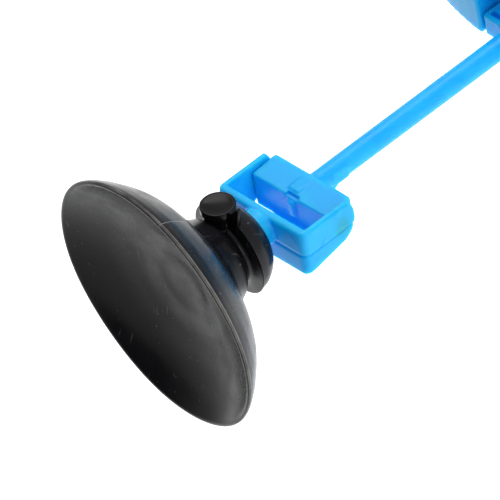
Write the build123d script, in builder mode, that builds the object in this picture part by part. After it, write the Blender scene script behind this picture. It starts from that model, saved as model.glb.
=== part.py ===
from build123d import *
import os

# Glass tube thermometer that hangs in a round float, with a hinged arm and a suction-cup bracket.
# Frame: +Z up, Y runs from the tank wall out over the water, X across the bracket.
# Origin: centre of the suction cup's rim, in the plane of the tank wall.

# ---- driving dimensions, mm ----
fit = 0.05            # radial clearance of a running fit
gap = 0.15            # clearance of a stop face

cup_radius = 20.0
cup_lip = 0.7
lip_width = 0.8
bowl_depth = 8.0
bowl_line = ((17.6, 1.9), (13.6, 4.6), (8.0, 6.9))
dome_line = ((6.3, 14.2), (7.2, 12.4), (8.8, 10.4), (12.4, 8.4), (15.6, 6.1), (18.3, 3.1), (19.5, 1.5))
neck_radius = 4.9
neck_y = 15.8
flange_radius = 7.3
flange_front_y = 16.5
flange_back_y = 20.2
flange_line = ((7.0, 17.8), (6.5, 18.7), (5.8, 19.5), (5.0, 20.0))
socket_radius = 2.35
socket_head_radius = 3.2
socket_floor_y = 15.2
socket_step_y = 17.0
nub_radius = 2.6
nub_x = -1.0
nub_y = 16.6
nub_top = 7.8
fin_outline = ((0.8, 4.2), (1.6, 7.0), (3.9, 9.8), (4.1, 9.4), (3.4, 6.0), (2.9, 3.2), (0.8, 4.2))
fin_back_y = 16.6
fin_thickness = 0.7

tray_front_y = 22.6
tray_wall = 1.3
tray_half = 8.65
cheek = 0.95
tray_top = 2.5
tray_bottom = -4.9
tray_end_y = 32.4
cheek_heel = (30.2, -3.4)    # where the tapered underside meets the rounded end
cheek_brow_y = 31.7
tray_round = 0.55            # outer top edges
groove_z = -1.7
groove_depth = 0.2
groove_height = 0.35
stop_depth = 1.4
stop_height = 0.8
peg_head = 1.4
boss_radius = 2.9

pivot_y = 30.0
pivot_z = -0.8
trunnion_radius = 1.3
trunnion_reach = 0.55

head_front_y = 28.4
head_back_y = 33.3
head_chamfer_y = 30.6
head_top = 1.5
head_rise = 0.4             # the top of the crosshead climbs towards the rod
head_bottom = -4.1
head_heel = 2.0              # the underside of the crosshead climbs this much towards the rod
head_deep = -4.4
deep_half = 4.2
deep_width_y = 3.2
head_mark_x = 0.35           # the notch, the rib and the gate pad sit a little off centre
rod_radius = 1.65
web_depth = -2.7
web_half = 0.65
web_reach = 5.2
gate_stub_y = 35.2

foot_front_y = 71.2
foot_back_y = 76.0
foot_half = 5.3
foot_height = 3.4
foot_pivot_y = 74.4
foot_pin_radius = 1.2

ring_y = 122.5
ring_outer = 52.0
ring_inner = 42.0
ring_wall = 1.2
ring_bottom = -1.65
ring_top = 10.4
pocket_half = 5.6
pocket_open_y = 62.0         # outside the float, where the pocket cuts start
pocket_back_y = 77.4
lid_lip = 1.4

hub_outer = 9.5
hub_bore = 6.6
hub_top = 6.4
spoke_count = 3
spoke_width = 2.6
spoke_height = 3.4
pad_width = 9.0
pad_height = 7.0

tube_radius = 4.5
tube_wall = 0.8
tube_bottom = -82.0
tube_top = 38.0
capillary_radius = 1.6
capillary_bore = 0.5
bulb_radius = 2.7
bulb_wall = 0.5
bulb_bottom = -69.5
bulb_top = -57.5
capillary_top = 29.0
spirit_level = -12.5   # height of the meniscus at 25 degrees
card_bottom = -53.5
card_top = 23.5
card_half_width = 3.0
card_thickness = 0.3
spacer_height = 2.0
shot_radius = 1.1
shot_per_layer = 6
shot_layers = 3
shot_pitch = 1.85
shot_ring = 2.44
ballast_top = -73.0
bumper_radius = 5.9
bumper_top = -73.0
plug_length = 6.0
cap_radius = 5.9
cap_skirt = 6.5
eyelet_half = 4.2
eyelet_centre_z = 44.8
eyelet_radius = 1.9
eyelet_thickness = 2.4
depth_ring_z = -30.0

tube_inner = tube_radius - tube_wall
axis_z = Axis((0, ring_y, 0), (0, 0, 1))
half_section = Plane(origin=(0, ring_y, 0), x_dir=(1, 0, 0), z_dir=(0, -1, 0))
across = Plane(origin=(0, 0, 0), x_dir=(0, 1, 0), z_dir=(1, 0, 0))


def facing_wall(y):
    """Plane at depth y whose local axes are X and Z and whose normal points back to the tank wall."""
    return Plane(origin=(0, y, 0), x_dir=(1, 0, 0), z_dir=(0, -1, 0))


def level(z):
    """Horizontal plane at height z, centred on the float."""
    return Plane(origin=(0, ring_y, z), x_dir=(1, 0, 0), z_dir=(0, 0, 1))


def round_end(radius, centre_z):
    """Quarter circle from the side of a round-bottomed tube down to its axis."""
    middle = radius * 0.5**0.5
    ThreePointArc((radius, centre_z), (middle, centre_z - middle), (0, centre_z - radius))


# ---- suction cup: one rubber moulding with neck, mushroom flange, blind socket, nub and fin ----
with BuildPart() as suction_cup:
    with BuildSketch(Plane.XY):
        with BuildLine():
            Polyline(
                (0, bowl_depth), (0, socket_floor_y), (socket_head_radius, socket_floor_y),
                (socket_head_radius, socket_step_y), (socket_radius, socket_step_y + 0.1),
                (socket_radius, flange_back_y), (flange_radius - 3.0, flange_back_y),
            )
            Spline(
                (flange_radius - 3.0, flange_back_y), *reversed(flange_line),
                (flange_radius, flange_front_y + 0.4),
            )
            Polyline(
                (flange_radius, flange_front_y + 0.4), (flange_radius, flange_front_y + 0.1),
                (neck_radius + 0.3, flange_front_y), (neck_radius, neck_y), (neck_radius + 0.6, neck_y - 0.8),
            )
            Spline((neck_radius + 0.6, neck_y - 0.8), *dome_line, (cup_radius, cup_lip))
            Line((cup_radius, cup_lip), (cup_radius, 0))
            Line((cup_radius, 0), (cup_radius - lip_width, 0))
            Spline(
                (cup_radius - lip_width, 0), *bowl_line, (0, bowl_depth),
                tangents=((-0.75, 0.66), (-1, 0)),
            )
        make_face()
    revolve(axis=Axis.Y)
    with BuildSketch(Plane.XY.offset(neck_radius - 0.7)):
        with Locations((nub_x, nub_y)):
            Circle(nub_radius)
    extrude(amount=nub_top - neck_radius + 0.7)
    with BuildSketch(facing_wall(fin_back_y)):
        with BuildLine():
            Polyline(*fin_outline)
        make_face()
    extrude(amount=fin_thickness)

# ---- bracket: near wall with a mushroom peg, two cheeks with blind hinge sockets, a stop bar ----
with BuildPart() as bracket_tray:
    with BuildSketch(across) as cheek_profile:
        with BuildLine():
            Line((tray_front_y, tray_top), (tray_front_y, tray_bottom))
            Line((tray_front_y, tray_bottom), cheek_heel)
            ThreePointArc(cheek_heel, (tray_end_y, pivot_z), (cheek_brow_y, tray_top))
            Line((cheek_brow_y, tray_top), (tray_front_y, tray_top))
        make_face()
    extrude(amount=tray_half, both=True)
    with BuildSketch(Plane.XY.offset(tray_bottom - 1)):
        with Locations((0, (tray_front_y + tray_wall + tray_end_y + 1) / 2)):
            Rectangle(2 * (tray_half - cheek), tray_end_y + 1 - tray_front_y - tray_wall)
    extrude(amount=tray_top - tray_bottom + 2, mode=Mode.SUBTRACT)
    fillet(bracket_tray.edges().filter_by(Axis.Z).group_by(Axis.Y)[0], radius=1.2)
    tray_rim = bracket_tray.faces().sort_by(Axis.Z)[-1].edges()
    fillet(
        tray_rim.filter_by(
            lambda edge: abs(edge.center().X) > tray_half - cheek / 2
            or edge.center().Y < tray_front_y + tray_wall / 2
        ),
        radius=tray_round,
    )
    with BuildSketch(Plane.XY.offset(groove_z)):
        with Locations((0, tray_front_y + 5)):
            Rectangle(2 * tray_half + 2, 14)
        with Locations((0, tray_front_y + 10 + groove_depth)):
            RectangleRounded(2 * (tray_half - groove_depth), 20, 1.0, mode=Mode.SUBTRACT)
    extrude(amount=groove_height, mode=Mode.SUBTRACT)
    with BuildSketch(Plane.XY.offset(tray_bottom + 0.3)):
        with Locations((0, head_front_y - gap - stop_depth / 2)):
            Rectangle(2 * (tray_half - cheek) + 0.4, stop_depth)
    extrude(amount=stop_height)
    with BuildSketch(facing_wall(tray_front_y)):
        Circle(boss_radius)
    extrude(amount=tray_front_y - flange_back_y - gap)
    with BuildSketch(facing_wall(flange_back_y + gap)):
        Circle(socket_radius - fit)
    extrude(amount=flange_back_y + gap - socket_step_y + 0.2)
    with BuildSketch(facing_wall(socket_step_y - 0.1)):
        Circle(socket_head_radius - 0.1)
    extrude(amount=peg_head, taper=12)
    with BuildSketch(across.offset(-tray_half + cheek - 0.6)):
        with Locations((pivot_y, pivot_z)):
            Circle(trunnion_radius + fit)
    extrude(amount=2 * (tray_half - cheek + 0.6), mode=Mode.SUBTRACT)

# ---- arm: crosshead with trunnions, round rod with a web under its root, and a hinged foot ----
with BuildPart() as arm_rod:
    head_half = tray_half - cheek - 0.25
    with BuildSketch(across):
        with BuildLine():
            Polyline(
                (head_front_y, head_top), (head_front_y, head_bottom), (head_chamfer_y, head_bottom),
                (head_back_y, head_bottom + head_heel), (head_back_y, head_top + head_rise - 0.4),
                (head_back_y - 0.4, head_top + head_rise), (head_front_y, head_top),
            )
        make_face()
    extrude(amount=head_half, both=True)
    fillet(arm_rod.edges().filter_by(Axis.Z).group_by(Axis.Y)[-1], radius=0.6)
    with BuildSketch(Plane.XY.offset(head_deep)):
        with Locations((0, head_front_y + deep_width_y / 2)):
            Rectangle(2 * deep_half, deep_width_y)
    extrude(amount=head_bottom - head_deep)
    with BuildSketch(Plane.XY.offset(head_top)):
        with Locations((head_mark_x, head_front_y + 0.2)):
            Rectangle(2.4, 0.9)
    extrude(amount=-0.5, mode=Mode.SUBTRACT)
    with BuildSketch(Plane.XY.offset(head_top)):
        with Locations((head_mark_x - 0.5, head_front_y + 2.2)):
            Rectangle(1.8, 2.4)
    extrude(amount=0.35)
    with BuildSketch(facing_wall(head_front_y)):
        with Locations((head_mark_x, -0.6)):
            Rectangle(1.1, 2.6)
    extrude(amount=0.5)
    with BuildSketch(across.offset(-head_half - trunnion_reach)):
        with Locations((pivot_y, pivot_z)):
            Circle(trunnion_radius)
    extrude(amount=2 * (head_half + trunnion_reach))
    with BuildSketch(facing_wall(foot_front_y + 0.5)):
        Circle(rod_radius)
    extrude(amount=foot_front_y + 0.5 - head_back_y + 1)
    with BuildSketch(across):
        with BuildLine():
            Polyline(
                (head_back_y - 0.5, -0.5), (head_back_y - 0.5, web_depth),
                (head_back_y + web_reach - 2.8, web_depth), (head_back_y + web_reach, -1.2),
                (head_back_y + web_reach, -0.5), (head_back_y - 0.5, -0.5),
            )
        make_face()
    extrude(amount=web_half, both=True)
    with BuildSketch(across.offset(1.0)):
        with Locations((gate_stub_y + 1.5, 0)):
            RectangleRounded(3.0, 1.8, 0.4)
    extrude(amount=0.75)
    with BuildSketch(Plane.XY.offset(-foot_height / 2)):
        with Locations((0, (foot_front_y + foot_back_y) / 2)):
            RectangleRounded(2 * foot_half, foot_back_y - foot_front_y, 0.5)
    extrude(amount=foot_height)
    with BuildSketch(Plane.XY.offset(foot_height / 2)):
        with Locations((0, foot_front_y + 1.25)):
            Rectangle(2 * foot_half - 1.0, 0.9)
    extrude(amount=-1.1, mode=Mode.SUBTRACT)
    with BuildSketch(across.offset(-foot_half - trunnion_reach)):
        with Locations((foot_pivot_y, 0)):
            Circle(foot_pin_radius)
    extrude(amount=2 * (foot_half + trunnion_reach))

# ---- float: open channel ring with a hinge pocket in its outer wall ----
with BuildPart() as float_shell:
    with BuildSketch(half_section):
        with Locations(((ring_outer + ring_inner) / 2, (ring_bottom + ring_top - ring_wall) / 2)):
            Rectangle(ring_outer - ring_inner, ring_top - ring_wall - ring_bottom)
        with Locations(((ring_outer + ring_inner) / 2, (ring_bottom + ring_top) / 2)):
            Rectangle(
                ring_outer - ring_inner - 2 * ring_wall, ring_top - ring_bottom - 2 * ring_wall,
                mode=Mode.SUBTRACT,
            )
    revolve(axis=axis_z)
    with BuildSketch(Plane.XY.offset(ring_bottom)):
        with Locations((0, (foot_front_y + pocket_back_y + ring_wall) / 2)):
            Rectangle(2 * (pocket_half + ring_wall), pocket_back_y + ring_wall - foot_front_y)
    extrude(amount=ring_top - ring_wall - ring_bottom)
    with BuildSketch(Plane.XY.offset(ring_bottom - 1)):
        with Locations((0, (pocket_open_y + pocket_back_y) / 2)):
            Rectangle(2 * pocket_half, pocket_back_y - pocket_open_y)
    extrude(amount=ring_top - ring_bottom + 2, mode=Mode.SUBTRACT)
    with BuildSketch(across.offset(-pocket_half - 0.65)):
        with Locations((foot_pivot_y, 0)):
            Circle(foot_pin_radius + fit)
    extrude(amount=2 * (pocket_half + 0.65), mode=Mode.SUBTRACT)

# ---- lid that closes the channel, with two locating lips ----
with BuildPart() as float_lid:
    with BuildSketch(level(ring_top - ring_wall)):
        Circle(ring_outer)
        Circle(ring_inner, mode=Mode.SUBTRACT)
    extrude(amount=ring_wall)
    fillet(float_lid.faces().sort_by(Axis.Z)[-1].edges(), radius=0.5)
    with BuildSketch(level(ring_top - ring_wall)):
        Circle(ring_outer - ring_wall - fit)
        Circle(ring_outer - ring_wall - 1.0, mode=Mode.SUBTRACT)
    extrude(amount=-lid_lip)
    with BuildSketch(level(ring_top - ring_wall)):
        Circle(ring_inner + ring_wall + 1.0)
        Circle(ring_inner + ring_wall + fit, mode=Mode.SUBTRACT)
    extrude(amount=-lid_lip)
    with BuildSketch(Plane.XY.offset(ring_top - ring_wall - 2)):
        with Locations((0, (pocket_open_y + pocket_back_y + ring_wall) / 2)):
            Rectangle(2 * (pocket_half + ring_wall) + 0.4, pocket_back_y + ring_wall + 0.2 - pocket_open_y)
    extrude(amount=2, mode=Mode.SUBTRACT)
    with BuildSketch(Plane.XY.offset(ring_top - ring_wall - 1)):
        with Locations((0, (pocket_open_y + pocket_back_y) / 2)):
            Rectangle(2 * pocket_half, pocket_back_y - pocket_open_y)
    extrude(amount=3, mode=Mode.SUBTRACT)

# ---- spider: three spokes that carry the hub inside the float ----
with BuildPart() as hub_spider:
    with BuildSketch(level(ring_bottom)):
        Circle(hub_outer)
        with PolarLocations(0, spoke_count, start_angle=90):
            with Locations((ring_inner / 2, 0)):
                Rectangle(ring_inner - 1, spoke_width)
        Circle(hub_bore, mode=Mode.SUBTRACT)
    extrude(amount=spoke_height)
    with BuildSketch(level(ring_bottom)):
        Circle(hub_outer)
        Circle(hub_bore, mode=Mode.SUBTRACT)
    extrude(amount=hub_top - ring_bottom)
    fillet(hub_spider.faces().sort_by(Axis.Z)[-1].edges(), radius=0.4)
    with BuildSketch(level(ring_bottom)):
        with PolarLocations(0, spoke_count, start_angle=90):
            with Locations((ring_inner - 1.1, 0)):
                Rectangle(2.2, pad_width)
    extrude(amount=pad_height)
    with BuildSketch(level(ring_bottom - 1)):
        Circle(ring_outer)
        Circle(ring_inner, mode=Mode.SUBTRACT)
    extrude(amount=10, mode=Mode.SUBTRACT)

# ---- rubber grommet: turns in the hub and grips the glass ----
with BuildPart() as hub_grommet:
    with BuildSketch(half_section):
        with BuildLine():
            Polyline(
                (tube_radius + fit, ring_bottom - 2.0), (hub_bore + 1.6, ring_bottom - 2.0),
                (hub_bore + 1.9, ring_bottom - 1.4), (hub_bore + 1.9, ring_bottom - 0.1),
                (hub_bore - fit, ring_bottom - 0.1), (hub_bore - fit, hub_top + 0.1),
                (hub_bore + 1.9, hub_top + 0.1), (hub_bore + 1.9, hub_top + 1.2),
                (hub_bore + 0.6, hub_top + 2.2), (tube_radius + 0.9, hub_top + 2.2),
                (tube_radius + fit, hub_top + 1.5), (tube_radius + fit, ring_bottom - 2.0),
            )
        make_face()
    revolve(axis=axis_z)

# ---- glass envelope, closed and round at the bottom ----
with BuildPart() as glass_tube:
    with BuildSketch(half_section):
        with BuildLine():
            Line((0, tube_bottom), (0, tube_bottom + tube_wall))
            round_end(tube_inner, tube_bottom + tube_radius)
            Line((tube_inner, tube_bottom + tube_radius), (tube_inner, tube_top))
            Line((tube_inner, tube_top), (tube_radius, tube_top))
            Line((tube_radius, tube_top), (tube_radius, tube_bottom + tube_radius))
            round_end(tube_radius, tube_bottom + tube_radius)
        make_face()
    revolve(axis=axis_z)

# ---- capillary stem and bulb: one drawn glass piece with its bore open to the seal bead ----
bulb_inner = bulb_radius - bulb_wall
bulb_centre_z = bulb_bottom + bulb_radius
with BuildPart() as capillary_tube:
    with BuildSketch(half_section):
        with BuildLine():
            Line((0, bulb_bottom), (0, bulb_bottom + bulb_wall))
            round_end(bulb_inner, bulb_centre_z)
            Line((bulb_inner, bulb_centre_z), (bulb_inner, bulb_top - 2.0))
            Line((bulb_inner, bulb_top - 2.0), (capillary_bore, bulb_top))
            Line((capillary_bore, bulb_top), (capillary_bore, capillary_top))
            Line((capillary_bore, capillary_top), (capillary_radius, capillary_top))
            Line((capillary_radius, capillary_top), (capillary_radius, bulb_top + 0.8))
            Line((capillary_radius, bulb_top + 0.8), (bulb_radius, bulb_top - 1.6))
            Line((bulb_radius, bulb_top - 1.6), (bulb_radius, bulb_centre_z))
            round_end(bulb_radius, bulb_centre_z)
        make_face()
    revolve(axis=axis_z)

with BuildPart() as seal_bead:
    with BuildSketch(level(capillary_top)):
        Circle(capillary_radius)
    extrude(amount=1.4)
    fillet(seal_bead.faces().sort_by(Axis.Z)[-1].edges(), radius=1.2)

# ---- red spirit: what fills the bulb, and the thread that rises with the temperature ----
with BuildPart() as spirit_bulb:
    with BuildSketch(half_section):
        with BuildLine():
            Line((0, bulb_bottom + bulb_wall), (0, bulb_top + 1.0))
            Line((0, bulb_top + 1.0), (capillary_bore, bulb_top + 1.0))
            Line((capillary_bore, bulb_top + 1.0), (capillary_bore, bulb_top))
            Line((capillary_bore, bulb_top), (bulb_inner, bulb_top - 2.0))
            Line((bulb_inner, bulb_top - 2.0), (bulb_inner, bulb_centre_z))
            round_end(bulb_inner, bulb_centre_z)
        make_face()
    revolve(axis=axis_z)

with BuildPart() as spirit_column:
    with BuildSketch(level(bulb_top + 1.0)):
        Circle(capillary_bore - fit)
    extrude(amount=spirit_level - 0.4 - bulb_top - 1.0)

with BuildPart() as spirit_meniscus:
    with BuildSketch(level(spirit_level - 0.4)):
        Circle(capillary_bore - fit)
    extrude(amount=0.4, taper=20)

# ---- scale card and the two discs that centre the stem and hold the card ----
with BuildPart() as scale_card:
    with BuildSketch(level(card_bottom)):
        with Locations((0, capillary_radius + 0.1 + card_thickness / 2)):
            Rectangle(2 * card_half_width, card_thickness)
    extrude(amount=card_top - card_bottom)

with BuildPart() as lower_spacer:
    with BuildSketch(level(card_bottom - spacer_height)):
        Circle(tube_inner)
        Circle(capillary_radius, mode=Mode.SUBTRACT)
    extrude(amount=spacer_height)

with BuildPart() as upper_spacer:
    with BuildSketch(level(card_top)):
        Circle(tube_inner)
        Circle(capillary_radius, mode=Mode.SUBTRACT)
    extrude(amount=spacer_height)

# ---- ballast: steel shot under a resin plug, in the round end of the tube ----
with BuildPart() as ballast_shot:
    with Locations((0, ring_y, tube_bottom + tube_wall + shot_radius + 0.02)):
        Sphere(shot_radius)
    for layer in range(shot_layers):
        layer_z = tube_bottom + tube_radius - 0.55 + layer * shot_pitch
        with Locations((0, ring_y, layer_z)):
            with PolarLocations(shot_ring, shot_per_layer, start_angle=30 * layer):
                Sphere(shot_radius)

with BuildPart() as ballast_plug:
    with BuildSketch(level(ballast_top)):
        Circle(tube_inner)
    extrude(amount=2.6)

# ---- closures and trim on the glass ----
with BuildPart() as cap_plug:
    with BuildSketch(level(tube_top - plug_length)):
        Circle(tube_inner)
    extrude(amount=plug_length)

with BuildPart() as top_cap:
    with BuildSketch(half_section):
        with BuildLine():
            Polyline(
                (0, tube_top), (tube_radius, tube_top), (tube_radius, tube_top - cap_skirt),
                (cap_radius, tube_top - cap_skirt), (cap_radius, tube_top + 1.6),
                (cap_radius - 0.7, tube_top + 2.6), (0, tube_top + 2.6), (0, tube_top),
            )
        make_face()
    revolve(axis=axis_z)
    with BuildSketch(half_section.offset(eyelet_thickness / 2)):
        with BuildLine():
            Line((-eyelet_half, tube_top + 2.2), (eyelet_half, tube_top + 2.2))
            Line((eyelet_half, tube_top + 2.2), (eyelet_half, eyelet_centre_z))
            ThreePointArc(
                (eyelet_half, eyelet_centre_z),
                (0, eyelet_centre_z + eyelet_half),
                (-eyelet_half, eyelet_centre_z),
            )
            Line((-eyelet_half, eyelet_centre_z), (-eyelet_half, tube_top + 2.2))
        make_face()
        with Locations((0, eyelet_centre_z)):
            Circle(eyelet_radius, mode=Mode.SUBTRACT)
    extrude(amount=-eyelet_thickness)

with BuildPart() as depth_ring:
    with BuildSketch(half_section):
        with Locations((tube_radius + 0.95, depth_ring_z)):
            RectangleRounded(1.9, 2.4, 0.8)
    revolve(axis=axis_z)

with BuildPart() as base_bumper:
    with BuildSketch(half_section):
        with BuildLine():
            Line((0, tube_bottom + tube_radius - bumper_radius), (0, tube_bottom))
            round_end(tube_radius, tube_bottom + tube_radius)
            Line((tube_radius, tube_bottom + tube_radius), (tube_radius, bumper_top))
            Line((tube_radius, bumper_top), (bumper_radius - 0.4, bumper_top))
            Line((bumper_radius - 0.4, bumper_top), (bumper_radius, bumper_top - 1.0))
            Line((bumper_radius, bumper_top - 1.0), (bumper_radius, tube_bottom + tube_radius))
            round_end(bumper_radius, tube_bottom + tube_radius)
        make_face()
    revolve(axis=axis_z)

pieces = {
    "suction_cup": suction_cup,
    "bracket_tray": bracket_tray,
    "arm_rod": arm_rod,
    "float_shell": float_shell,
    "float_lid": float_lid,
    "hub_spider": hub_spider,
    "hub_grommet": hub_grommet,
    "glass_tube": glass_tube,
    "capillary_tube": capillary_tube,
    "seal_bead": seal_bead,
    "spirit_bulb": spirit_bulb,
    "spirit_column": spirit_column,
    "spirit_meniscus": spirit_meniscus,
    "scale_card": scale_card,
    "lower_spacer": lower_spacer,
    "upper_spacer": upper_spacer,
    "ballast_shot": ballast_shot,
    "ballast_plug": ballast_plug,
    "cap_plug": cap_plug,
    "top_cap": top_cap,
    "depth_ring": depth_ring,
    "base_bumper": base_bumper,
}

os.makedirs("parts", exist_ok=True)
for name, piece in pieces.items():
    piece.part.label = name
    export_step(piece.part, f"parts/{name}.step")
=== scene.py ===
"""Looks of a floating aquarium thermometer: suction cup, bracket, hinged arm, round float and glass tube.

Every length in a dataclass field is in millimetres, unless its comment says otherwise.
Meshes are built in metres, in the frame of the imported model.
"""

import logging
import math
from dataclasses import dataclass, field
from enum import Enum

import bmesh
import bpy
from mathutils import Matrix, Vector

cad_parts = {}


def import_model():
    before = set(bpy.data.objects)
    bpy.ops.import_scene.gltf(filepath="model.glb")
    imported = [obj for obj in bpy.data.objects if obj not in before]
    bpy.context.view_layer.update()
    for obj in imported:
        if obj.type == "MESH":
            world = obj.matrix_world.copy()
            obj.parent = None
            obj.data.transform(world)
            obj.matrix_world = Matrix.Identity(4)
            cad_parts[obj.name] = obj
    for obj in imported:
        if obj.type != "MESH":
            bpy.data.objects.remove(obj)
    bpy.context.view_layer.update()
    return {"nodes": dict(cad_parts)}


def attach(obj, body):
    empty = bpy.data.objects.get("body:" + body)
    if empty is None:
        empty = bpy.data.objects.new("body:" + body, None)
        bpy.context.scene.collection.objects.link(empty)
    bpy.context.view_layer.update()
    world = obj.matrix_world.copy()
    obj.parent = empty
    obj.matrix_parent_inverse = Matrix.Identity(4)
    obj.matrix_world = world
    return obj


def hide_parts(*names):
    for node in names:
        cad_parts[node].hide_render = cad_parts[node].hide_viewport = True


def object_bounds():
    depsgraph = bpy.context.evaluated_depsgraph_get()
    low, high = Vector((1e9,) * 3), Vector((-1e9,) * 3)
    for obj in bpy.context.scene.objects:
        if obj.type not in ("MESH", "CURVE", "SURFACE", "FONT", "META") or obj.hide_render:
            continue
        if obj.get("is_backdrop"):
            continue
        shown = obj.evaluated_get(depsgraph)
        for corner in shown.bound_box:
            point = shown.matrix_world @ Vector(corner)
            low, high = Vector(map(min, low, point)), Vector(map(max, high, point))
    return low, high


MM = 0.001
FULL_TURN = 2.0 * math.pi

log = logging.getLogger("thermometer")


# ---------------------------------------------------------------- node helpers


def linear(hex_colour: str) -> tuple[float, float, float, float]:
    """Turn an sRGB hex colour into a linear RGBA value.

    Args:
        hex_colour: six hex digits after a hash sign.

    Returns:
        The colour in Blender's linear working space, with full alpha.
    """
    channels = [int(hex_colour[i : i + 2], 16) / 255.0 for i in (1, 3, 5)]
    red, green, blue = (c / 12.92 if c <= 0.04045 else ((c + 0.055) / 1.055) ** 2.4 for c in channels)
    return (red, green, blue, 1.0)


def add_node(
    tree: bpy.types.NodeTree,
    kind: str,
    settings: dict[str, object] | None = None,
    inputs: dict[str, object] | None = None,
) -> bpy.types.Node:
    """Add one shader node, set it and link it.

    Args:
        tree: the node tree that gets the node.
        kind: the node's type name.
        settings: properties of the node itself.
        inputs: values by socket name; an output socket is linked, anything else is set.

    Returns:
        The new node.
    """
    node = tree.nodes.new(kind)
    for key, value in (settings or {}).items():
        setattr(node, key, value)
    for key, value in (inputs or {}).items():
        socket = node.inputs[int(key)] if key.isdigit() else node.inputs[key]
        if isinstance(value, bpy.types.NodeSocket):
            tree.links.new(value, socket)
        else:
            socket.default_value = value
    return node


def new_material(name: str) -> tuple[bpy.types.Material, bpy.types.NodeTree, bpy.types.Node]:
    """Start a node material.

    Args:
        name: the material's name.

    Returns:
        The material, its empty tree and its Principled shader, already linked to the output.
    """
    material = bpy.data.materials.new(name)
    material.use_nodes = True
    tree = material.node_tree
    tree.nodes.clear()
    shader = add_node(tree, "ShaderNodeBsdfPrincipled")
    add_node(tree, "ShaderNodeOutputMaterial", inputs={"Surface": shader.outputs["BSDF"]})
    return material, tree, shader


def stops(ramp: bpy.types.Node, *pairs: tuple[float, str]) -> None:
    """Set a colour ramp.

    Args:
        ramp: the ramp node.
        pairs: position and hex colour of each stop, from low to high.
    """
    elements = ramp.color_ramp.elements
    while len(elements) < len(pairs):
        elements.new(0.5)
    for element, (place, colour) in zip(elements, pairs):
        element.position = place
        element.color = linear(colour)


def per_metre(size_mm: float) -> float:
    """Scale value that makes a texture's feature about size_mm wide."""
    return 1.0 / (size_mm * MM)


# ---------------------------------------------------------------- finishes


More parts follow.
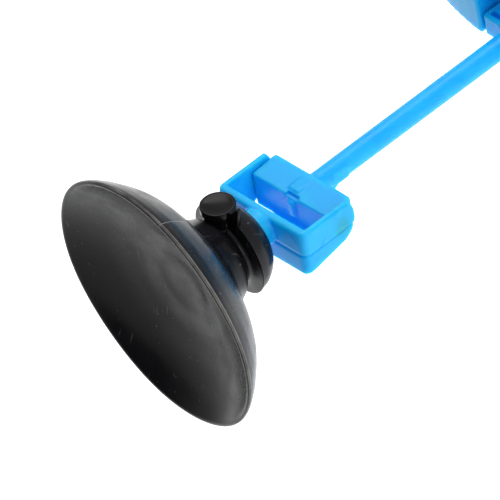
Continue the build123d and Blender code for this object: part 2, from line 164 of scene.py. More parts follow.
@dataclass(frozen=True)
class MouldedRubber:
    """Natural rubber, compression moulded: near-black, with soft grey highlights, dust and scuffs."""

    name: str
    base: str = "#0B0B0E"
    worn: str = "#131317"
    dust: str = "#8C8A86"
    roughness_low: float = 0.30
    roughness_high: float = 0.48
    grain_mm: float = 0.35
    cloud_mm: float = 9.0
    speck_mm: float = 2.3
    hair_mm: tuple[float, float] = (1.6, 26.0)
    dust_amount: float = 1.0
    sheen: float = 0.28
    ior: float = 1.52
    hair_turns: tuple[float, float] = (0.5, 2.2)      # directions of the scuffs, in radians
    flash_radii: tuple[float, ...] = ()
    flash_mm: tuple[float, float] = (0.02, 0.06)      # half width of a painted highlight ring, full and faded
    seam_turn: float | None = None                    # direction of the parting seam, in radians
    seam_mm: tuple[float, float] = (0.02, 0.07)       # half width of the seam, full and faded
    seam_reach_mm: tuple[float, float] = (7.0, 11.0)  # radii between which the seam grows visible

    def specks(self, tree: bpy.types.NodeTree, flat: bpy.types.NodeSocket) -> bpy.types.NodeSocket:
        """Scatter dust: the middles of small cells.

        Args:
            tree: the material's tree.
            flat: the surface point seen along the cup's axis.

        Returns:
            The amount of dust, from 0 to 1.
        """
        cells = add_node(
            tree, "ShaderNodeTexVoronoi", {"voronoi_dimensions": "2D"},
            {"Vector": flat, "Scale": per_metre(self.speck_mm)},
        )
        return add_node(
            tree, "ShaderNodeMapRange",
            inputs={"Value": cells.outputs["Distance"], "From Min": 0.025, "From Max": 0.055,
                    "To Min": 1.0, "To Max": 0.0},
        ).outputs["Result"]

    def hairs(
        self, tree: bpy.types.NodeTree, flat: bpy.types.NodeSocket, turn: float
    ) -> bpy.types.NodeSocket:
        """Draw short hairline scuffs: the middles of long narrow cells.

        Args:
            tree: the material's tree.
            flat: the surface point seen along the cup's axis.
            turn: direction of the scuffs, in radians.

        Returns:
            The amount of scuffing, from 0 to 1.
        """
        turned_point = add_node(
            tree, "ShaderNodeMapping",
            inputs={"Vector": flat, "Rotation": (0.0, 0.0, turn),
                    "Scale": (per_metre(self.hair_mm[0]), per_metre(self.hair_mm[1]), 1.0)},
        )
        cells = add_node(
            tree, "ShaderNodeTexVoronoi", {"voronoi_dimensions": "2D"},
            {"Vector": turned_point.outputs["Vector"], "Scale": 1.0},
        )
        return add_node(
            tree, "ShaderNodeMapRange",
            inputs={"Value": cells.outputs["Distance"], "From Min": 0.018, "From Max": 0.045,
                    "To Min": 0.8, "To Max": 0.0},
        ).outputs["Result"]

    def flash(
        self, tree: bpy.types.NodeTree, flat: bpy.types.NodeSocket, radius: float
    ) -> bpy.types.NodeSocket:
        """Paint a thin pale ring at one radius from the cup's axis: a painted highlight, the light a thin
        edge catches.

        Args:
            tree: the material's tree.
            flat: the surface point seen along the cup's axis.
            radius: the ring's radius in millimetres.

        Returns:
            The amount of painted highlight, from 0 to 1.
        """
        length = add_node(tree, "ShaderNodeVectorMath", {"operation": "LENGTH"}, {"0": flat}).outputs["Value"]
        away = add_node(tree, "ShaderNodeMath", {"operation": "SUBTRACT"}, {"0": length, "1": radius * MM})
        apart = add_node(tree, "ShaderNodeMath", {"operation": "ABSOLUTE"}, {"0": away.outputs["Value"]})
        return add_node(
            tree, "ShaderNodeMapRange",
            inputs={"Value": apart.outputs["Value"], "From Min": self.flash_mm[0] * MM,
                    "From Max": self.flash_mm[1] * MM, "To Min": 1.0, "To Max": 0.0},
        ).outputs["Result"]

    def seam(
        self, tree: bpy.types.NodeTree, flat: bpy.types.NodeSocket, turn: float
    ) -> bpy.types.NodeSocket:
        """Draw the hairline parting seam that runs out from the neck to the rim.

        Args:
            tree: the material's tree.
            flat: the surface point seen along the cup's axis.
            turn: direction of the seam around the axis, in radians.

        Returns:
            The amount of whitening, from 0 to 1.
        """
        along = add_node(tree, "ShaderNodeMapping", inputs={"Vector": flat, "Rotation": (0.0, 0.0, -turn)})
        parts = add_node(tree, "ShaderNodeSeparateXYZ", inputs={"Vector": along.outputs["Vector"]})
        apart = add_node(tree, "ShaderNodeMath", {"operation": "ABSOLUTE"}, {"0": parts.outputs["Y"]})
        line = add_node(
            tree, "ShaderNodeMapRange",
            inputs={"Value": apart.outputs["Value"], "From Min": self.seam_mm[0] * MM,
                    "From Max": self.seam_mm[1] * MM, "To Min": 0.8, "To Max": 0.0},
        )
        outward = add_node(
            tree, "ShaderNodeMapRange",
            inputs={"Value": parts.outputs["X"], "From Min": self.seam_reach_mm[0] * MM,
                    "From Max": self.seam_reach_mm[1] * MM},
        )
        return add_node(
            tree, "ShaderNodeMath", {"operation": "MULTIPLY"},
            {"0": line.outputs["Result"], "1": outward.outputs["Result"]},
        ).outputs["Value"]

    def build(self) -> bpy.types.Material:
        """Make the material.

        Returns:
            The finished node material.
        """
        material, tree, shader = new_material(self.name)
        place = add_node(tree, "ShaderNodeTexCoord").outputs["Object"]
        axes = add_node(tree, "ShaderNodeSeparateXYZ", inputs={"Vector": place})
        flat = add_node(
            tree, "ShaderNodeCombineXYZ", inputs={"X": axes.outputs["X"], "Y": axes.outputs["Z"]}
        ).outputs["Vector"]
        cloud = add_node(
            tree, "ShaderNodeTexNoise",
            inputs={"Vector": place, "Scale": per_metre(self.cloud_mm), "Detail": 4.0, "Roughness": 0.6},
        )
        tone = add_node(tree, "ShaderNodeValToRGB", inputs={"Fac": cloud.outputs["Fac"]})
        stops(tone, (0.35, self.base), (0.75, self.worn))
        patches = add_node(
            tree, "ShaderNodeTexNoise",
            inputs={"Vector": place, "Scale": per_metre(self.cloud_mm * 0.45), "Detail": 3.0},
        )
        # Dust and scuffs lie in patches, where the cup was touched.
        patch = add_node(
            tree, "ShaderNodeMapRange",
            inputs={"Value": patches.outputs["Fac"], "From Min": 0.47, "From Max": 0.60},
        ).outputs["Result"]
        marks = self.specks(tree, flat)
        for turn in self.hair_turns:
            marks = add_node(
                tree, "ShaderNodeMath", {"operation": "MAXIMUM"},
                {"0": marks, "1": self.hairs(tree, flat, turn)},
            ).outputs["Value"]
        total = add_node(tree, "ShaderNodeMath", {"operation": "MULTIPLY"}, {"0": marks, "1": patch})
        amount = add_node(
            tree, "ShaderNodeMath", {"operation": "MULTIPLY", "use_clamp": True},
            {"0": total.outputs["Value"], "1": 0.7 * self.dust_amount},
        ).outputs["Value"]
        # Each pale ring at these radii is a painted highlight, broken up in patches.
        for radius in self.flash_radii:
            edge = self.flash(tree, flat, radius)
            broken = add_node(
                tree, "ShaderNodeMapRange",
                inputs={"Value": patches.outputs["Fac"], "From Min": 0.3, "From Max": 0.6,
                        "To Min": 0.1, "To Max": 0.75},
            )
            strength = add_node(
                tree, "ShaderNodeMath", {"operation": "MULTIPLY"}, {"0": edge, "1": broken.outputs["Result"]}
            )
            amount = add_node(
                tree, "ShaderNodeMath", {"operation": "MAXIMUM"},
                {"0": amount, "1": strength.outputs["Value"]},
            ).outputs["Value"]
        if self.seam_turn is not None:
            amount = add_node(
                tree, "ShaderNodeMath", {"operation": "MAXIMUM"},
                {"0": amount, "1": self.seam(tree, flat, self.seam_turn)},
            ).outputs["Value"]
        # Dust, scuffs and the seam are real marks; the pale rings are painted highlight. All of them mix
        # toward the same pale colour.
        colour = add_node(
            tree, "ShaderNodeMix", {"data_type": "RGBA"},
            {"0": amount, "6": tone.outputs["Color"], "7": linear(self.dust)},
        )
        gloss = add_node(
            tree, "ShaderNodeMapRange",
            inputs={"Value": patches.outputs["Fac"], "From Min": 0.35, "From Max": 0.7,
                    "To Min": self.roughness_low, "To Max": self.roughness_high},
        )
        grain = add_node(
            tree, "ShaderNodeTexNoise",
            inputs={"Vector": place, "Scale": per_metre(self.grain_mm), "Detail": 3.0},
        )
        bump = add_node(
            tree, "ShaderNodeBump",
            inputs={"Height": grain.outputs["Fac"], "Strength": 0.10, "Distance": 0.02 * MM},
        )
        tree.links.new(colour.outputs[2], shader.inputs["Base Color"])
        tree.links.new(gloss.outputs["Result"], shader.inputs["Roughness"])
        tree.links.new(bump.outputs["Normal"], shader.inputs["Normal"])
        shader.inputs["IOR"].default_value = self.ior
        shader.inputs["Specular IOR Level"].default_value = self.sheen
        return material


@dataclass(frozen=True)
class MouldedPolypropylene:
    """Polypropylene, injection moulded, lightly dyed: light enters it and its hollows turn deep blue."""

    name: str
    base: str = "#1CBAFF"
    deep: str = "#10B0FA"
    scatter_mm: float = 2.0
    scatter_colour: tuple[float, float, float] = (0.14, 1.0, 1.0)  # red stays near the surface
    ior: float = 1.49
    specular: float = 0.24
    roughness_low: float = 0.26
    roughness_high: float = 0.40
    flow_mm: float = 5.0
    ripple_mm: float = 1.6

    def build(self) -> bpy.types.Material:
        """Make the material.

        Returns:
            The finished node material.
        """
        material, tree, shader = new_material(self.name)
        place = add_node(tree, "ShaderNodeTexCoord").outputs["Object"]
        flow = add_node(
            tree, "ShaderNodeTexNoise",
            inputs={"Vector": place, "Scale": per_metre(self.flow_mm), "Detail": 3.0, "Distortion": 0.8},
        )
        tone = add_node(tree, "ShaderNodeValToRGB", inputs={"Fac": flow.outputs["Fac"]})
        stops(tone, (0.30, self.deep), (0.70, self.base))
        gloss = add_node(
            tree, "ShaderNodeMapRange",
            inputs={"Value": flow.outputs["Fac"], "From Min": 0.3, "From Max": 0.7,
                    "To Min": self.roughness_low, "To Max": self.roughness_high},
        )
        ripple = add_node(
            tree, "ShaderNodeTexNoise",
            inputs={"Vector": place, "Scale": per_metre(self.ripple_mm), "Detail": 2.0},
        )
        bump = add_node(
            tree, "ShaderNodeBump",
            inputs={"Height": ripple.outputs["Fac"], "Strength": 0.25, "Distance": 0.05 * MM},
        )
        tree.links.new(tone.outputs["Color"], shader.inputs["Base Color"])
        tree.links.new(gloss.outputs["Result"], shader.inputs["Roughness"])
        tree.links.new(bump.outputs["Normal"], shader.inputs["Normal"])
        shader.inputs["IOR"].default_value = self.ior
        shader.inputs["Specular IOR Level"].default_value = self.specular
        shader.inputs["Subsurface Weight"].default_value = 1.0
        shader.inputs["Subsurface Radius"].default_value = self.scatter_colour
        shader.inputs["Subsurface Scale"].default_value = self.scatter_mm * MM
        return material


@dataclass(frozen=True)
class DrawnGlass:
    """Soda-lime glass, drawn as tube: clear, with faint lengthwise draw lines that bend the highlights."""

    name: str
    tint: str = "#F4FBFA"
    streak_mm: float = 0.8
    roughness: float = 0.02
    ior: float = 1.50
    stretch: float = 0.02      # how much the draw lines are squeezed along the tube

    def build(self) -> bpy.types.Material:
        """Make the material.

        Returns:
            The finished node material.
        """
        material, tree, shader = new_material(self.name)
        place = add_node(tree, "ShaderNodeTexCoord").outputs["Object"]
        drawn = add_node(
            tree, "ShaderNodeMapping", inputs={"Vector": place, "Scale": (1.0, 1.0, self.stretch)}
        )
        streaks = add_node(
            tree, "ShaderNodeTexNoise",
            inputs={"Vector": drawn.outputs["Vector"], "Scale": per_metre(self.streak_mm), "Detail": 2.0},
        )
        bump = add_node(
            tree, "ShaderNodeBump",
            inputs={"Height": streaks.outputs["Fac"], "Strength": 0.15, "Distance": 0.01 * MM},
        )
        tree.links.new(bump.outputs["Normal"], shader.inputs["Normal"])
        shader.inputs["Base Color"].default_value = linear(self.tint)
        shader.inputs["Roughness"].default_value = self.roughness
        shader.inputs["IOR"].default_value = self.ior
        shader.inputs["Transmission Weight"].default_value = 1.0
        return material


@dataclass(frozen=True)
class DyedSpirit:
    """Alcohol dyed red, seen through glass: a saturated wet colour with a little depth."""

    name: str
    base: str = "#D4101C"
    dark: str = "#A80812"
    swirl_mm: float = 3.0
    roughness: float = 0.08
    ior: float = 1.36

    def build(self) -> bpy.types.Material:
        """Make the material.

        Returns:
            The finished node material.
        """
        material, tree, shader = new_material(self.name)
        place = add_node(tree, "ShaderNodeTexCoord").outputs["Object"]
        swirl = add_node(
            tree, "ShaderNodeTexNoise", inputs={"Vector": place, "Scale": per_metre(self.swirl_mm)}
        )
        tone = add_node(tree, "ShaderNodeValToRGB", inputs={"Fac": swirl.outputs["Fac"]})
        stops(tone, (0.3, self.dark), (0.7, self.base))
        tree.links.new(tone.outputs["Color"], shader.inputs["Base Color"])
        shader.inputs["Roughness"].default_value = self.roughness
        shader.inputs["IOR"].default_value = self.ior
        return material


@dataclass(frozen=True)
class PressedCard:
    """Coated card, pressed and printed: matte white with a fine fibre mottle."""

    name: str
    base: str = "#F4F3EE"
    fibre: str = "#E9E7DF"
    fibre_mm: float = 0.5
    roughness: float = 0.62

    def build(self) -> bpy.types.Material:
        """Make the material.

        Returns:
            The finished node material.
        """
        material, tree, shader = new_material(self.name)
        place = add_node(tree, "ShaderNodeTexCoord").outputs["Object"]
        mottle = add_node(
            tree, "ShaderNodeTexNoise",
            inputs={"Vector": place, "Scale": per_metre(self.fibre_mm), "Detail": 5.0},
        )
        tone = add_node(tree, "ShaderNodeValToRGB", inputs={"Fac": mottle.outputs["Fac"]})
        stops(tone, (0.35, self.fibre), (0.65, self.base))
        bump = add_node(
            tree, "ShaderNodeBump",
            inputs={"Height": mottle.outputs["Fac"], "Strength": 0.1, "Distance": 0.02 * MM},
        )
        tree.links.new(tone.outputs["Color"], shader.inputs["Base Color"])
        tree.links.new(bump.outputs["Normal"], shader.inputs["Normal"])
        shader.inputs["Roughness"].default_value = self.roughness
        return material


@dataclass(frozen=True)
class TumbledSteel:
    """Steel balls, tumbled and slightly oxidised: grey metal with blotchy gloss."""

    name: str
    base: str = "#8D8F92"
    stain: str = "#5E5A55"
    blotch_mm: float = 0.7

    def build(self) -> bpy.types.Material:
        """Make the material.

        Returns:
            The finished node material.
        """
        material, tree, shader = new_material(self.name)
        place = add_node(tree, "ShaderNodeTexCoord").outputs["Object"]
        blotch = add_node(
            tree, "ShaderNodeTexNoise",
            inputs={"Vector": place, "Scale": per_metre(self.blotch_mm), "Detail": 4.0},
        )
        tone = add_node(tree, "ShaderNodeValToRGB", inputs={"Fac": blotch.outputs["Fac"]})
        stops(tone, (0.35, self.stain), (0.6, self.base))
        gloss = add_node(
            tree, "ShaderNodeMapRange",
            inputs={"Value": blotch.outputs["Fac"], "To Min": 0.45, "To Max": 0.2},
        )
        tree.links.new(tone.outputs["Color"], shader.inputs["Base Color"])
        tree.links.new(gloss.outputs["Result"], shader.inputs["Roughness"])
        shader.inputs["Metallic"].default_value = 1.0
        return material


@dataclass(frozen=True)
class CastResin:
    """Sealing resin, poured and set: opaque brick red with pale cloudy patches."""

    name: str
    base: str = "#B5452C"
    cloud: str = "#C7694B"
    cloud_mm: float = 1.5
    roughness: float = 0.35

    def build(self) -> bpy.types.Material:
        """Make the material.

        Returns:
            The finished node material.
        """
        material, tree, shader = new_material(self.name)
        place = add_node(tree, "ShaderNodeTexCoord").outputs["Object"]
        clouds = add_node(
            tree, "ShaderNodeTexNoise",
            inputs={"Vector": place, "Scale": per_metre(self.cloud_mm), "Detail": 4.0},
        )
        tone = add_node(tree, "ShaderNodeValToRGB", inputs={"Fac": clouds.outputs["Fac"]})
        stops(tone, (0.4, self.base), (0.7, self.cloud))
        tree.links.new(tone.outputs["Color"], shader.inputs["Base Color"])
        shader.inputs["Roughness"].default_value = self.roughness
        return material


@dataclass(frozen=True)
class ScaleInk:
    """Screen ink on card: dense, matte, with slight thin spots."""

    name: str
    base: str = "#15171B"
    thin: str = "#2B2E35"
    spot_mm: float = 0.4
    roughness: float = 0.55

    def build(self) -> bpy.types.Material:
        """Make the material.

        Returns:
            The finished node material.
        """
        material, tree, shader = new_material(self.name)
        place = add_node(tree, "ShaderNodeTexCoord").outputs["Object"]
        spots = add_node(
            tree, "ShaderNodeTexNoise", inputs={"Vector": place, "Scale": per_metre(self.spot_mm)}
        )
        tone = add_node(tree, "ShaderNodeValToRGB", inputs={"Fac": spots.outputs["Fac"]})
        stops(tone, (0.4, self.base), (0.8, self.thin))
        tree.links.new(tone.outputs["Color"], shader.inputs["Base Color"])
        shader.inputs["Roughness"].default_value = self.roughness
        return material


# ---------------------------------------------------------------- mesh helpers


def dress(piece: bpy.types.Object, material: bpy.types.Material) -> None:
    """Give a piece one material and drop the ones it had."""
    piece.data.materials.clear()
    piece.data.materials.append(material)


def finish_mesh(mesh: bmesh.types.BMesh, name: str, smooth_angle: float = 35.0) -> bpy.types.Object:
    """Turn a bmesh into an object at the origin with shaded-smooth faces.

    Args:
        mesh: the finished bmesh, in metres; it is freed here.
        name: the piece's name.
        smooth_angle: edges sharper than this many degrees stay crisp.

    Returns:
        The new object, linked to the scene.
    """
    data = bpy.data.meshes.new(name)
    mesh.to_mesh(data)
    mesh.free()
    for polygon in data.polygons:
        polygon.use_smooth = True
    data.set_sharp_from_angle(angle=math.radians(smooth_angle))
    piece = bpy.data.objects.new(name, data)
    bpy.context.scene.collection.objects.link(piece)
    return piece


def smooth_outline(points: list[tuple[float, float]], steps: int) -> list[tuple[float, float]]:
    """Run a Catmull-Rom curve through the points of an outline.

    Args:
        points: the outline's own points, in order.
        steps: samples on each stretch.

    Returns:
        The points of the smooth outline, ends included.
    """
    padded = [points[0], *points, points[-1]]
    result = []
    for i in range(1, len(padded) - 2):
        before, start, end, after = (Vector(p) for p in padded[i - 1 : i + 3])
        for k in range(steps):
            t = k / steps
            point = 0.5 * (
                2 * start
                + (end - before) * t
                + (2 * before - 5 * start + 4 * end - after) * t * t
                + (3 * start - before - 3 * end + after) * t * t * t
            )
            result.append((point.x, point.y))
    result.append(points[-1])
    return result


def turned(
    outline: list[tuple[float, float]], segments: int, centre: Vector, axis: Vector
) -> bmesh.types.BMesh:
    """Spin an outline of (radius, height) points, in millimetres, a full turn about an axis.

    Args:
        outline: points from one end on the axis, or closed on itself, to the other.
        segments: steps in the turn.
        centre: a point on the axis, in metres.
        axis: unit vector along the axis.

    Returns:
        A bmesh whose faces point outwards.
    """
    across = Vector((1.0, 0.0, 0.0))
    mesh = bmesh.new()
    ring = [
        mesh.verts.new(centre + across * (radius * MM) + axis * (height * MM)) for radius, height in outline
    ]
    edges = [mesh.edges.new(pair) for pair in zip(ring, ring[1:])]
    bmesh.ops.spin(
        mesh, geom=[*ring, *edges], cent=centre, axis=axis, angle=FULL_TURN, steps=segments, use_merge=True
    )
    bmesh.ops.remove_doubles(mesh, verts=mesh.verts, dist=0.002 * MM)
    bmesh.ops.recalc_face_normals(mesh, faces=mesh.faces)
    return mesh


def soften(node: bpy.types.Object, voxel_mm: float, rounds: int) -> None:
    """Round the edges of a moulded piece, inside and out, as its mould does.

    Args:
        node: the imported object; its mesh is left as it is.
        voxel_mm: edge length of the surface grid.
        rounds: smoothing passes; more passes give larger radii.
    """
    weld = node.modifiers.new("weld", "WELD")
    weld.merge_threshold = 0.001 * MM
    grid = node.modifiers.new("grid", "REMESH")
    grid.mode = "VOXEL"
    grid.voxel_size = voxel_mm * MM
    grid.use_smooth_shade = True
    ease = node.modifiers.new("ease", "SMOOTH")
    ease.factor = 0.5
    ease.iterations = rounds


# ---------------------------------------------------------------- sub-assemblies


class Grade(Enum):
    """How finely the moulded pieces are gridded."""

    FINE = 0.12
    MEDIUM = 0.16
    COARSE = 0.30


@dataclass
class SuctionCup:
    """The rubber cup: a leaning bowl on a soft neck, with a mushroom flange, a nub and a fin."""

    rim_radius: float = 20.0
    segments: int = 256
    slope: float = 0.1         # lean of the relaxed moulding out of the wall's plane
    far_turn: float = -2.58    # direction of the side that leans away, radians from +X towards +Z
    stiff_radius: float = 5.5  # the neck, which stays where it is
    firm_y: float = 20.2       # the flange's back, which stays square to the bracket
    hold_depth: float = 3.0    # length over which the lean dies away in front of that back
    bend_end: float = 14.5     # beyond this only the lean is left
    ripple: float = 0.16
    nub_radius: float = 2.6
    nub_centre: tuple[float, float] = (-1.0, 16.6)
    nub_top: float = 7.8
    nub_foot: float = 4.4
    fin_front: float = 15.9
    fin_thickness: float = 0.7
    cup_finish: MouldedRubber = field(
        default_factory=lambda: MouldedRubber(
            "glossy_black_rubber", roughness_low=0.22, roughness_high=0.36, sheen=0.21, dust_amount=0.6,
            # The pale ring just inside the rim is a painted highlight.
            flash_radii=(19.95,), seam_turn=1.26,
        )
    )
    # The nub and fin are the cup's own rubber. Their darker base and worn tones and their weaker reflection
    # are painted shade; their lower roughness makes them glossier.
    tab_finish: MouldedRubber = field(
        default_factory=lambda: MouldedRubber(
            "painted_shade_black_rubber", base="#060608", worn="#0A0A0D", roughness_low=0.16, roughness_high=0.26,
            sheen=0.15, dust_amount=0.5,
        )
    )

    def outline(self) -> list[tuple[float, float]]:
        """Outline of the half section, from the bowl's middle round the rim to the socket.

        Returns:
            (radius, distance from the wall) points in millimetres.
        """
        bowl = smooth_outline(
            [(0.0, 8.0), (4.0, 7.75), (8.0, 6.9), (11.0, 5.8),
             (13.6, 4.6), (16.0, 3.1), (17.8, 1.7), (19.3, 0.2)],
            6,
        )
        lip = [(19.5, 0.06), (19.8, 0.02), (19.97, 0.1), (20.0, 0.3), (19.9, 0.62)]
        dome = smooth_outline(
            [(19.72, 1.0), (19.3, 1.7), (18.3, 3.1), (15.6, 6.1),
             (12.4, 8.4), (8.8, 10.4), (7.2, 12.4), (6.3, 14.2)],
            6,
        )
        neck = smooth_outline([(5.9, 14.75), (5.25, 15.1), (4.95, 15.5), (4.9, 15.9), (5.1, 16.3)], 3)
        flange = [
            (5.4, 16.45), (6.2, 16.52), (7.0, 16.55), (7.22, 16.56),
            (7.3, 16.6), (7.22, 16.68), (7.12, 16.78),
        ]
        cap = smooth_outline(
            [(7.14, 16.95), (7.0, 17.8), (6.5, 18.7), (5.8, 19.5), (5.0, 20.0), (4.3, 20.2)], 4
        )
        socket = [(2.6, 20.2), (2.35, 20.0), (2.35, 17.1), (3.2, 17.0), (3.2, 15.2), (0.0, 15.2)]
        return [*bowl, *lip, *dome, *neck, *flange, *cap, *socket]

    def lean(self, mesh: bmesh.types.BMesh) -> None:
        """Lean the moulding on its neck and ripple its thin edge, as rubber that isn't pressed on a wall.

        Args:
            mesh: the upright moulding, changed in place.
        """
        for vertex in mesh.verts:
            reach = math.hypot(vertex.co.x, vertex.co.z) / MM
            turn = math.atan2(vertex.co.z, vertex.co.x)
            weight = max(0.0, (reach - self.stiff_radius) / (self.rim_radius - self.stiff_radius))
            if vertex.co.y > self.bend_end * MM:
                weight = 0.0
            hold = min(1.0, max(0.0, (self.firm_y - vertex.co.y / MM) / self.hold_depth))
            tilt = self.slope * reach * math.cos(turn - self.far_turn) * hold
            rise = self.slope * self.rim_radius * weight
            wave = 0.5 + 0.25 * (math.sin(5.0 * turn + 0.8) + math.sin(3.0 * turn + 2.1))
            vertex.co.y += MM * (tilt + rise + self.ripple * wave * weight**6)

    def nub(self) -> bpy.types.Object:
        """Make the round nub that stands on top of the neck, with a soft edge and a slightly hollow top.

        Returns:
            The nub.
        """
        r, top = self.nub_radius, self.nub_top
        outline = [
            (0.0, top - 0.22), (r * 0.5, top - 0.2), (r * 0.8, top - 0.1), (r * 0.93, top - 0.02),
            (r * 0.98, top - 0.08), (r, top - 0.25), (r, top - 1.0), (r * 0.9, top - 1.6),
            (r * 0.86, self.nub_foot), (0.0, self.nub_foot),
        ]
        centre = Vector((self.nub_centre[0], self.nub_centre[1], 0.0)) * MM
        return finish_mesh(turned(outline, 72, centre, Vector((0.0, 0.0, 1.0))), "neck_nub", 55.0)

    def fin(self) -> bpy.types.Object:
        """Make the fin beside the nub: a thin pointed web in front of the flange.

        Returns:
            The fin.
        """
        outline = smooth_outline([(0.8, 4.2), (1.2, 5.8), (2.1, 7.6), (3.1, 8.9), (3.85, 9.7)], 3)
        outline += [(4.05, 9.45), (3.8, 8.0), (3.4, 6.0), (2.9, 3.2)]
        mesh = bmesh.new()
        corners = [mesh.verts.new((x * MM, self.fin_front * MM, z * MM)) for x, z in outline]
        face = mesh.faces.new(corners)
        grown = bmesh.ops.extrude_face_region(mesh, geom=[face])
        moved = [g for g in grown["geom"] if isinstance(g, bmesh.types.BMVert)]
        bmesh.ops.translate(mesh, verts=moved, vec=(0.0, self.fin_thickness * MM, 0.0))
        bmesh.ops.recalc_face_normals(mesh, faces=mesh.faces)
        rim = [e for e in mesh.edges if abs(e.verts[0].co.y - e.verts[1].co.y) < 1e-7]
        bmesh.ops.bevel(
            mesh, geom=rim, offset=0.12 * MM, offset_type="OFFSET", segments=2, profile=0.5,
            affect="EDGES", clamp_overlap=True, material=-1,
        )
        return finish_mesh(mesh, "neck_fin", 50.0)

    def build(self) -> list[bpy.types.Object]:
        """Build and dress the cup, its nub and its fin.

        Returns:
            The pieces.
        """
        glossy = self.cup_finish.build()
        # This finish paints shade onto the nub and fin.
        shaded_rubber = self.tab_finish.build()
        mesh = turned(self.outline(), self.segments, Vector(), Vector((0.0, 1.0, 0.0)))
        self.lean(mesh)
        bmesh.ops.recalc_face_normals(mesh, faces=mesh.faces)
        cup = finish_mesh(mesh, "cup_moulding", 60.0)
        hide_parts("suction_cup")
        pieces = [cup, self.nub(), self.fin()]
        for piece in pieces:
            dress(piece, glossy if piece is cup else shaded_rubber)
            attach(piece, "cup")
        return pieces


@dataclass
class HolderMouldings:
    """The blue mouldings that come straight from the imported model: bracket, arm, float and cap."""

    nodes: dict[str, bpy.types.Object]
    finish: MouldedPolypropylene = field(
        default_factory=lambda: MouldedPolypropylene("moulded_blue_polypropylene")
    )

    def build(self) -> list[bpy.types.Object]:
        """Dress and soften the mouldings.

        Returns:
            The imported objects.
        """
        blue = self.finish.build()
        grades = {
            "bracket_tray": (Grade.FINE, 12),
            "arm_rod": (Grade.FINE, 10),
            "top_cap": (Grade.FINE, 4),
            "hub_spider": (Grade.MEDIUM, 4),
            "float_shell": (Grade.COARSE, 2),
            "float_lid": (Grade.COARSE, 2),
        }
        for name, (grade, rounds) in grades.items():
            dress(self.nodes[name], blue)
            soften(self.nodes[name], grade.value, rounds)
        return [self.nodes[name] for name in grades]


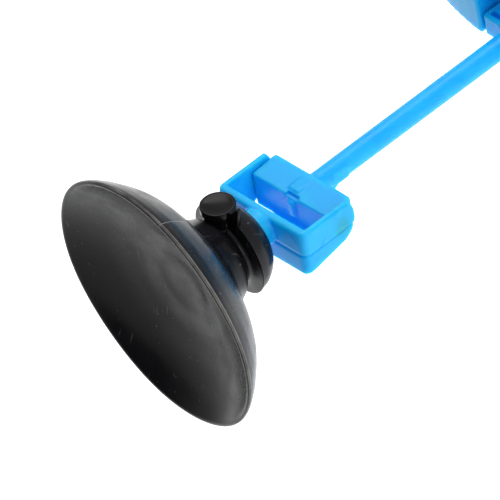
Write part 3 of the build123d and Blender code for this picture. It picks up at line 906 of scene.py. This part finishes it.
@dataclass
class ThermometerTube:
    """Everything in and on the glass: card, printed scale, stem, spirit, ballast and rubber trim."""

    nodes: dict[str, bpy.types.Object]
    centre_y: float = 122.5
    card_face: float = 1.66     # distance of the printed face behind the tube's axis
    zero_z: float = -45.0
    per_degree: float = 1.3
    top_degree: int = 50
    ink_height: float = 0.04
    tick_start: float = 0.75    # where the marks begin, beside the stem
    digit_size: float = 1.5
    digit_x: float = -2.35
    digit_rise: float = 0.95    # how far a number stands above its mark
    comfort_degrees: tuple[int, int] = (22, 28)
    comfort_x: tuple[float, float] = (2.1, 2.8)

    def bar(self, mesh: bmesh.types.BMesh, x0: float, x1: float, z: float, height: float) -> None:
        """Add one printed bar to a mesh, standing proud of the card by the ink's thickness.

        Args:
            mesh: the print so far, changed in place.
            x0: the bar's left end.
            x1: the bar's right end.
            z: the height of its middle.
            height: its height.
        """
        made = bmesh.ops.create_cube(mesh, size=1.0)
        bmesh.ops.scale(
            mesh, verts=made["verts"], vec=((x1 - x0) * MM, self.ink_height * MM, height * MM)
        )
        spot = ((x0 + x1) / 2 * MM, (self.centre_y + self.card_face) * MM, z * MM)
        bmesh.ops.translate(mesh, verts=made["verts"], vec=spot)

    def ticks(self) -> bpy.types.Object:
        """Print the tick marks, long at tens, middling at fives.

        Returns:
            The tick marks as one piece.
        """
        mesh = bmesh.new()
        for degree in range(self.top_degree + 1):
            z = self.zero_z + self.per_degree * degree
            reach = 1.1 if degree % 10 == 0 else 0.85 if degree % 5 == 0 else 0.55
            height = 0.16 if degree % 5 == 0 else 0.1
            for side in (-1, 1):
                ends = sorted((side * self.tick_start, side * (self.tick_start + reach)))
                self.bar(mesh, ends[0], ends[1], z, height)
        return finish_mesh(mesh, "scale_ticks", 30.0)

    def numbers(self) -> bpy.types.Object:
        """Print the numbers at each ten degrees.

        Returns:
            The numbers as one piece.
        """
        mesh = bmesh.new()
        for degree in range(0, self.top_degree + 1, 10):
            curve = bpy.data.curves.new("digits", "FONT")
            curve.body = str(degree)
            curve.size = self.digit_size * MM
            curve.extrude = self.ink_height / 2 * MM
            curve.align_x = "CENTER"
            curve.align_y = "CENTER"
            text = bpy.data.objects.new("digits", curve)
            bpy.context.scene.collection.objects.link(text)
            bpy.context.view_layer.update()
            flat = bpy.data.meshes.new_from_object(text.evaluated_get(bpy.context.evaluated_depsgraph_get()))
            place = Matrix.Translation(
                (
                    self.digit_x * MM,
                    (self.centre_y + self.card_face) * MM,
                    (self.zero_z + self.per_degree * degree + self.digit_rise) * MM,
                )
            ) @ Matrix.Rotation(math.radians(90), 4, "X")
            flat.transform(place)
            mesh.from_mesh(flat)
            bpy.data.objects.remove(text)
            bpy.data.curves.remove(curve)
            bpy.data.meshes.remove(flat)
        bmesh.ops.remove_doubles(mesh, verts=mesh.verts, dist=0.001 * MM)
        return finish_mesh(mesh, "scale_numbers", 30.0)

    def comfort_band(self) -> bpy.types.Object:
        """Print the green band that marks the usual tank temperatures.

        Returns:
            The band.
        """
        mesh = bmesh.new()
        low, high = (self.zero_z + self.per_degree * degree for degree in self.comfort_degrees)
        self.bar(mesh, *self.comfort_x, (low + high) / 2, high - low)
        return finish_mesh(mesh, "comfort_band", 30.0)

    def build(self) -> list[bpy.types.Object]:
        """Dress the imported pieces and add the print.

        Returns:
            The pieces.
        """
        clear = DrawnGlass("drawn_clear_glass").build()
        stem = DrawnGlass("drawn_stem_glass", tint="#EAF6F3", streak_mm=0.4).build()
        spirit = DyedSpirit("dyed_red_spirit").build()
        card = PressedCard("pressed_white_card").build()
        spacer = PressedCard("moulded_spacer_foam", base="#DCE3E2", fibre="#C9D2D1", fibre_mm=0.8).build()
        steel = TumbledSteel("tumbled_steel_shot").build()
        resin = CastResin("cast_sealing_resin").build()
        grey = MouldedRubber(
            "moulded_grey_rubber", base="#4A4D52", worn="#5A5D62", dust="#8A8880",
            roughness_low=0.45, roughness_high=0.6, dust_amount=0.4,
        ).build()
        ink = ScaleInk("black_scale_ink").build()
        green = ScaleInk("green_scale_ink", base="#1E9A45", thin="#35B45C").build()
        dressing = {
            "glass_tube": clear, "capillary_tube": stem, "seal_bead": stem, "spirit_bulb": spirit,
            "spirit_column": spirit, "spirit_meniscus": spirit, "scale_card": card, "lower_spacer": spacer,
            "upper_spacer": spacer, "ballast_shot": steel, "ballast_plug": resin, "cap_plug": grey,
            "depth_ring": grey, "base_bumper": grey, "hub_grommet": grey,
        }
        for name, material in dressing.items():
            dress(self.nodes[name], material)
        for name in ("depth_ring", "base_bumper", "hub_grommet"):
            soften(self.nodes[name], Grade.MEDIUM.value, 3)
        prints = [self.ticks(), self.numbers(), self.comfort_band()]
        for piece, material in zip(prints, (ink, ink, green)):
            dress(piece, material)
            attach(piece, "thermometer")
        return [*(self.nodes[name] for name in dressing), *prints]


# ---------------------------------------------------------------- stage


@dataclass
class Studio:
    """A plain pale floor, soft light and a long-lens camera."""

    azimuth: float = 52.5
    elevation: float = 41.0
    roll: float = 10.0
    lens: float = 2500.0
    sensor: float = 36.0
    clip: tuple[float, float] = (0.05, 20.0)   # in metres
    field_mm: float = 68.97
    look_at: tuple[float, float, float] = (2.467, 18.125, 0.0)
    floor_drop: float = 4.0
    floor_half: float = 3.0    # in metres
    glow: float = 0.75         # brightness of the table's own light
    glow_start: float = -110.0
    glow_full: float = 10.0
    surround: float = 0.6      # brightness above, behind and beside the set
    room: float = 0.06         # brightness of the room in front
    room_start: float = 0.35
    room_full: float = 0.85
    # Name, place in metres, side in metres and power in watts of each soft light.
    panels: tuple[tuple[str, tuple[float, float, float], float, float], ...] = (
        ("top_panel", (-0.25, 0.35, 0.9), 0.7, 5.0),
        ("side_panel", (0.9, 0.1, 0.35), 0.6, 2.5),
    )
    panel_aim: tuple[float, float, float] = (0.0, 0.05, 0.0)   # in metres

    def frame_axes(self) -> tuple[Vector, Vector, Vector]:
        """Unit vectors to the camera's right, up and back."""
        a, e = math.radians(self.azimuth), math.radians(self.elevation)
        back = Vector((math.sin(a) * math.cos(e), -math.cos(a) * math.cos(e), math.sin(e)))
        right = Vector((math.cos(a), math.sin(a), 0.0))
        up = back.cross(right)
        turn = Matrix.Rotation(math.radians(-self.roll), 3, back)
        return turn @ right, turn @ up, back

    def camera(self) -> bpy.types.Object:
        """Place the camera.

        Returns:
            The camera.
        """
        right, up, back = self.frame_axes()
        data = bpy.data.cameras.new("camera")
        data.sensor_width = self.sensor
        data.lens = self.lens
        distance = self.field_mm * self.lens / data.sensor_width
        data.clip_start, data.clip_end = self.clip
        camera = bpy.data.objects.new("camera", data)
        turn = Matrix((right, up, back)).transposed().to_4x4()
        camera.matrix_world = Matrix.Translation((Vector(self.look_at) + back * distance) * MM) @ turn
        bpy.context.scene.collection.objects.link(camera)
        bpy.context.scene.camera = camera
        return camera

    def panel(self, name: str, spot: tuple[float, float, float], size: float, power: float) -> None:
        """Hang one soft square light.

        Args:
            name: the light's name.
            spot: where it hangs, in metres.
            size: its side, in metres.
            power: its power in watts.
        """
        data = bpy.data.lights.new(name, "AREA")
        data.size = size
        data.energy = power
        lamp = bpy.data.objects.new(name, data)
        lamp.location = spot
        lamp.rotation_mode = "QUATERNION"
        lamp.rotation_quaternion = (Vector(self.panel_aim) - Vector(spot)).to_track_quat("-Z", "Y")
        bpy.context.scene.collection.objects.link(lamp)

    def world(self) -> None:
        """Surround the set with an even white, dimming towards the dark room in front of the table."""
        world = bpy.data.worlds.new("surround")
        world.use_nodes = True
        tree = world.node_tree
        tree.nodes.clear()
        way = add_node(tree, "ShaderNodeTexCoord").outputs["Generated"]
        front = add_node(
            tree, "ShaderNodeVectorMath", {"operation": "DOT_PRODUCT"}, {"0": way, "1": (0.0, -1.0, 0.0)}
        )
        bright = add_node(
            tree, "ShaderNodeMapRange",
            {"interpolation_type": "SMOOTHSTEP"},
            {"Value": front.outputs["Value"], "From Min": self.room_start, "From Max": self.room_full,
             "To Min": self.surround, "To Max": self.room},
        )
        shader = add_node(
            tree, "ShaderNodeBackground",
            inputs={"Color": linear("#FFFFFF"), "Strength": bright.outputs["Result"]},
        )
        add_node(tree, "ShaderNodeOutputWorld", inputs={"Surface": shader.outputs["Background"]})
        bpy.context.scene.world = world

    def floor(self) -> bpy.types.Object:
        """Lay the floor under the object's lowest point.

        Returns:
            The floor.
        """
        low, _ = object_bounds()
        mesh = bmesh.new()
        bmesh.ops.create_grid(mesh, x_segments=1, y_segments=1, size=self.floor_half)
        bmesh.ops.translate(mesh, verts=mesh.verts, vec=(0.0, 0.0, low.z - self.floor_drop * MM))
        floor = finish_mesh(mesh, "floor")
        material, tree, shader = new_material("lit_white_acrylic_table")
        place = add_node(tree, "ShaderNodeTexCoord").outputs["Object"]
        grain = add_node(tree, "ShaderNodeTexNoise", inputs={"Vector": place, "Scale": per_metre(4.0)})
        tone = add_node(tree, "ShaderNodeValToRGB", inputs={"Fac": grain.outputs["Fac"]})
        stops(tone, (0.4, "#F2F2F2"), (0.6, "#F8F8F8"))
        # The lamp under the table lies towards its back, so the glow dies away towards the front.
        depth = add_node(tree, "ShaderNodeSeparateXYZ", inputs={"Vector": place}).outputs["Y"]
        glow = add_node(
            tree, "ShaderNodeMapRange", {"interpolation_type": "SMOOTHSTEP"},
            {"Value": depth, "From Min": self.glow_start * MM, "From Max": self.glow_full * MM,
             "To Min": 0.0, "To Max": self.glow},
        )
        tree.links.new(tone.outputs["Color"], shader.inputs["Base Color"])
        tree.links.new(tone.outputs["Color"], shader.inputs["Emission Color"])
        tree.links.new(glow.outputs["Result"], shader.inputs["Emission Strength"])
        shader.inputs["Roughness"].default_value = 0.9
        dress(floor, material)
        floor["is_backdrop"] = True
        return floor

    def build(self) -> None:
        """Set up floor, light and camera."""
        self.floor()
        self.world()
        for name, spot, size, power in self.panels:
            self.panel(name, spot, size, power)
        self.camera()
        bpy.context.scene.view_settings.view_transform = "Standard"


def main() -> None:
    """Build every sub-assembly in order."""
    logging.basicConfig(level=logging.INFO, format="%(name)s: %(message)s")
    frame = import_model()
    nodes = frame["nodes"]
    assemblies = [SuctionCup(), HolderMouldings(nodes), ThermometerTube(nodes)]
    for assembly in assemblies:
        for piece in assembly.build():
            log.info("%s: %s", type(assembly).__name__, piece.name)
    Studio().build()


if __name__ == "__main__":
    main()
